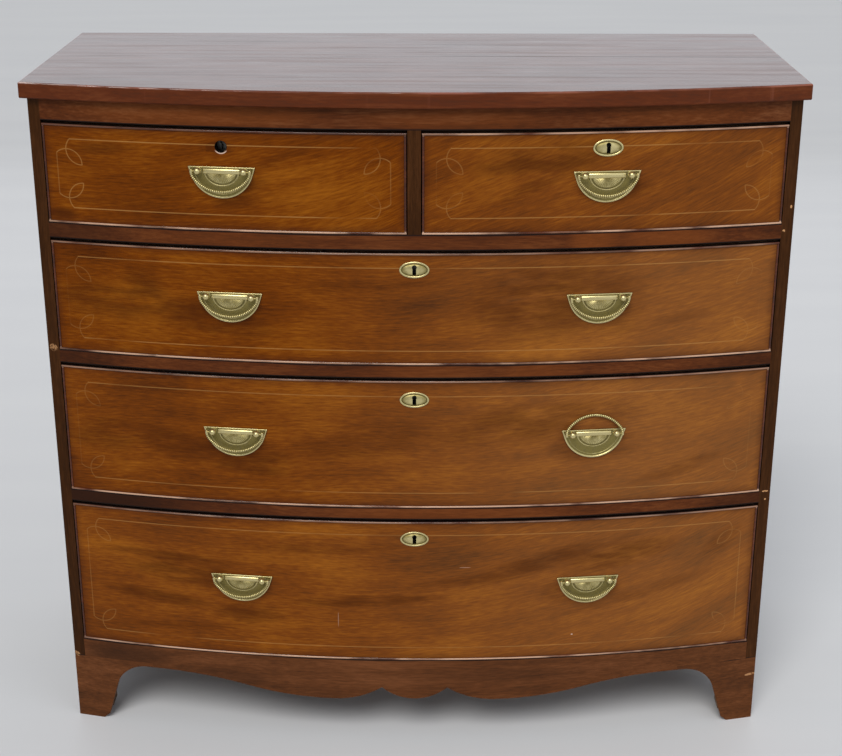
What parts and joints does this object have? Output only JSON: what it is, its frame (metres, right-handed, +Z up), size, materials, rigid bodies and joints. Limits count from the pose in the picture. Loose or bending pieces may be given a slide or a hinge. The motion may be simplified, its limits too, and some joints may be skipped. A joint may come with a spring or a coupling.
{
  "type": "bow front chest of drawers",
  "caption": "Bow front chest of drawers with shaped apron, bracket feet, swinging bail handles and keyed locks.",
  "frame": {"origin": "on the floor under the middle of the overall width and depth", "axes": "+X to the right of someone who faces the front, -Y out of the bowed front, +Z up"},
  "size_m": [1.068, 0.4909, 0.992],
  "materials": {
    "mahogany": "satin",
    "drawer_front": "satin",
    "pine": "raw",
    "brass": "aged",
    "steel": "aged"
  },
  "bodies": {
    "case": {"top_board": "mahogany", "left_side": "mahogany", "right_side": "mahogany", "back_boards": "pine", "frieze_rail": "mahogany", "upper_rail": "mahogany", "middle_rail": "mahogany", "lower_rail": "mahogany", "bottom_rail": "mahogany", "drawer_partition": "mahogany", "drawer_runners": "pine", "bottom_board": "pine", "apron": "mahogany", "front_feet": "mahogany", "base_sides": "mahogany", "rear_feet": "pine", "stops_and_glue_blocks": "pine"},
    "top_left_drawer": {"top_left_drawer_front": "drawer_front", "top_left_drawer_cock_beads": "drawer_front", "top_left_drawer_box": "pine", "top_left_drawer_bottom": "pine", "top_left_drawer_lock": "steel", "top_left_drawer_brasses": "brass"},
    "top_left_drawer_lock_bolt": {"top_left_drawer_lock_bolt": "steel"},
    "top_left_drawer_bail": {"top_left_drawer_bail": "brass"},
    "top_right_drawer": {"top_right_drawer_front": "drawer_front", "top_right_drawer_cock_beads": "drawer_front", "top_right_drawer_box": "pine", "top_right_drawer_bottom": "pine", "top_right_drawer_lock": "steel", "top_right_drawer_brasses": "brass"},
    "top_right_drawer_lock_bolt": {"top_right_drawer_lock_bolt": "steel"},
    "top_right_drawer_bail": {"top_right_drawer_bail": "brass"},
    "upper_drawer": {"upper_drawer_front": "drawer_front", "upper_drawer_cock_beads": "drawer_front", "upper_drawer_box": "pine", "upper_drawer_bottom": "pine", "upper_drawer_lock": "steel", "upper_drawer_brasses": "brass"},
    "upper_drawer_lock_bolt": {"upper_drawer_lock_bolt": "steel"},
    "upper_drawer_left_bail": {"upper_drawer_left_bail": "brass"},
    "upper_drawer_right_bail": {"upper_drawer_right_bail": "brass"},
    "middle_drawer": {"middle_drawer_front": "drawer_front", "middle_drawer_cock_beads": "drawer_front", "middle_drawer_box": "pine", "middle_drawer_bottom": "pine", "middle_drawer_lock": "steel", "middle_drawer_brasses": "brass"},
    "middle_drawer_lock_bolt": {"middle_drawer_lock_bolt": "steel"},
    "middle_drawer_left_bail": {"middle_drawer_left_bail": "brass"},
    "middle_drawer_right_bail": {"middle_drawer_right_bail": "brass"},
    "lower_drawer": {"lower_drawer_front": "drawer_front", "lower_drawer_cock_beads": "drawer_front", "lower_drawer_box": "pine", "lower_drawer_bottom": "pine", "lower_drawer_lock": "steel", "lower_drawer_brasses": "brass"},
    "lower_drawer_lock_bolt": {"lower_drawer_lock_bolt": "steel"},
    "lower_drawer_left_bail": {"lower_drawer_left_bail": "brass"},
    "lower_drawer_right_bail": {"lower_drawer_right_bail": "brass"}
  },
  "joints": [
    {"name": "top_left_drawer_slide", "type": "slide", "parent": "case", "child": "top_left_drawer", "axis": [0, -1, 0], "range_m": [0, 0.32]},
    {"name": "top_left_drawer_bolt_throw", "type": "slide", "parent": "top_left_drawer", "child": "top_left_drawer_lock_bolt", "axis": [0, 0, 1], "range_m": [0, 0.007]},
    {"name": "top_left_drawer_bail_hinge", "type": "hinge", "parent": "top_left_drawer", "child": "top_left_drawer_bail", "pos_m": [-0.25979, -0.22809, 0.88175], "axis": [-0.9925, 0.122, 0], "range_deg": [-10, 193]},
    {"name": "top_right_drawer_slide", "type": "slide", "parent": "case", "child": "top_right_drawer", "axis": [0, -1, 0], "range_m": [0, 0.32]},
    {"name": "top_right_drawer_bolt_throw", "type": "slide", "parent": "top_right_drawer", "child": "top_right_drawer_lock_bolt", "axis": [0, 0, 1], "range_m": [0, 0.007]},
    {"name": "top_right_drawer_bail_hinge", "type": "hinge", "parent": "top_right_drawer", "child": "top_right_drawer_bail", "pos_m": [0.25979, -0.22809, 0.87775], "axis": [-0.9925, -0.122, 0], "range_deg": [-10, 186]},
    {"name": "upper_drawer_slide", "type": "slide", "parent": "case", "child": "upper_drawer", "axis": [0, -1, 0], "range_m": [0, 0.32]},
    {"name": "upper_drawer_bolt_throw", "type": "slide", "parent": "upper_drawer", "child": "upper_drawer_lock_bolt", "axis": [0, 0, 1], "range_m": [0, 0.007]},
    {"name": "upper_drawer_left_bail_hinge", "type": "hinge", "parent": "upper_drawer", "child": "upper_drawer_left_bail", "pos_m": [-0.25602, -0.22856, 0.70525], "axis": [-0.9927, 0.1202, 0], "range_deg": [-10, 193]},
    {"name": "upper_drawer_right_bail_hinge", "type": "hinge", "parent": "upper_drawer", "child": "upper_drawer_right_bail", "pos_m": [0.25602, -0.22856, 0.70525], "axis": [-0.9927, -0.1202, 0], "range_deg": [-10, 193]},
    {"name": "middle_drawer_slide", "type": "slide", "parent": "case", "child": "middle_drawer", "axis": [0, -1, 0], "range_m": [0, 0.32]},
    {"name": "middle_drawer_bolt_throw", "type": "slide", "parent": "middle_drawer", "child": "middle_drawer_lock_bolt", "axis": [0, 0, 1], "range_m": [0, 0.007]},
    {"name": "middle_drawer_left_bail_hinge", "type": "hinge", "parent": "middle_drawer", "child": "middle_drawer_left_bail", "pos_m": [-0.25602, -0.22856, 0.50275], "axis": [-0.9927, 0.1202, 0], "range_deg": [-10, 193]},
    {"name": "middle_drawer_right_bail_hinge", "type": "hinge", "parent": "middle_drawer", "child": "middle_drawer_right_bail", "pos_m": [0.25602, -0.22856, 0.50275], "axis": [-0.9927, -0.1202, 0], "range_deg": [-203, 0]},
    {"name": "lower_drawer_slide", "type": "slide", "parent": "case", "child": "lower_drawer", "axis": [0, -1, 0], "range_m": [0, 0.32]},
    {"name": "lower_drawer_bolt_throw", "type": "slide", "parent": "lower_drawer", "child": "lower_drawer_lock_bolt", "axis": [0, 0, 1], "range_m": [0, 0.007]},
    {"name": "lower_drawer_left_bail_hinge", "type": "hinge", "parent": "lower_drawer", "child": "lower_drawer_left_bail", "pos_m": [-0.25602, -0.22856, 0.26775], "axis": [-0.9927, 0.1202, 0], "range_deg": [-10, 193]},
    {"name": "lower_drawer_right_bail_hinge", "type": "hinge", "parent": "lower_drawer", "child": "lower_drawer_right_bail", "pos_m": [0.25602, -0.22856, 0.26775], "axis": [-0.9927, -0.1202, 0], "range_deg": [-10, 193]}
  ]
}
